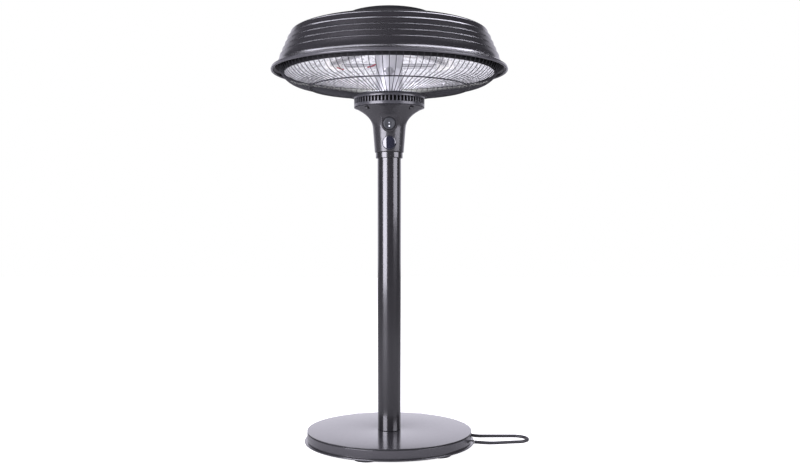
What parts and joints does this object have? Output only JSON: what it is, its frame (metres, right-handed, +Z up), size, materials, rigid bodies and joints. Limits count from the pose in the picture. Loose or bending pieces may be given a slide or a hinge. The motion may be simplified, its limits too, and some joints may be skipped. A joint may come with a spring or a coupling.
{
  "type": "halogen heater",
  "caption": "Standing halogen patio heater: weighted round base, pole, trumpet neck with push button, and a ribbed round canopy over lamps behind a wire guard.",
  "frame": {"origin": "on the floor, under the middle of the pole", "axes": "+Z up the pole, -Y towards the front, where the push button is, and +X to the viewer's right, where the mains lead leaves"},
  "size_m": [0.5589, 0.5961, 0.9228],
  "materials": {
    "charcoal_paint": "semi-gloss charcoal paint",
    "zinc_steel": "zinc plated steel",
    "cast_iron": "rough cast iron",
    "foot_rubber": "soft black rubber",
    "lead_rubber": "black rubber sheath",
    "red_silicone": "red silicone sleeve",
    "button_plastic": "fine textured grey plastic",
    "light_window": "clear light window",
    "receiver_window": "dark polished window",
    "circuit_board": "green circuit board",
    "black_plastic": "black moulded plastic",
    "ceramic": "white unglazed ceramic",
    "bright_aluminium": "bright hammered aluminium",
    "quartz": "frosted quartz glass",
    "guard_steel": "black painted wire"
  },
  "bodies": {
    "heater": {"foot_1": "foot_rubber", "foot_2": "foot_rubber", "foot_3": "foot_rubber", "foot_4": "foot_rubber", "foot_5": "foot_rubber", "foot_6": "foot_rubber", "base_plate": "zinc_steel", "base_weight": "cast_iron", "base_cover": "charcoal_paint", "cord_gland": "lead_rubber", "pole_bolt_1": "zinc_steel", "pole_bolt_2": "zinc_steel", "pole_bolt_3": "zinc_steel", "pole_foot_plug": "cast_iron", "pole_tube": "charcoal_paint", "pole_head_plug": "cast_iron", "collar": "charcoal_paint", "neck_housing": "charcoal_paint", "neck_bolt_1": "zinc_steel", "neck_bolt_2": "zinc_steel", "neck_screw_1": "zinc_steel", "neck_screw_2": "zinc_steel", "neck_screw_3": "zinc_steel", "neck_screw_4": "zinc_steel", "button_spring": "zinc_steel", "receiver_lens": "receiver_window", "control_board": "circuit_board", "button_switch": "black_plastic", "tilt_case": "black_plastic", "terminal_block": "ceramic", "inner_lead": "lead_rubber", "vent_ring": "black_plastic", "head_floor": "zinc_steel", "central_column": "bright_aluminium", "thermal_cutout": "black_plastic", "reflector": "bright_aluminium", "canopy": "charcoal_paint", "canopy_post": "zinc_steel", "top_cap": "charcoal_paint", "lamp_1": "quartz", "lamp_2": "quartz", "lamp_3": "quartz", "lamp_holder_1": "ceramic", "lamp_holder_2": "ceramic", "lamp_holder_3": "ceramic", "lamp_holder_4": "ceramic", "lamp_holder_5": "ceramic", "lamp_holder_6": "ceramic", "lamp_lead_1": "red_silicone", "lamp_lead_2": "red_silicone", "lamp_lead_3": "red_silicone", "guard": "guard_steel", "cord": "lead_rubber", "cord_hank": "lead_rubber", "cord_end": "lead_rubber", "plug": "black_plastic"},
    "button": {"power_button": "button_plastic", "power_light": "light_window", "heat_light": "light_window"},
    "pendulum": {"tilt_pendulum": "cast_iron"}
  },
  "joints": [
    {"name": "button_press", "type": "slide", "parent": "heater", "child": "button", "axis": [0, 1, 0], "range_m": [0, 0.0012], "stiffness_N_per_m": 600, "springref_m": -0.002, "deforming": ["button_spring"]},
    {"name": "tilt_swing", "type": "hinge", "parent": "heater", "child": "pendulum", "pos_m": [0, -0.0111, 0.6634], "axis": [0, 1, 0], "range_deg": [-15, 15]}
  ]
}
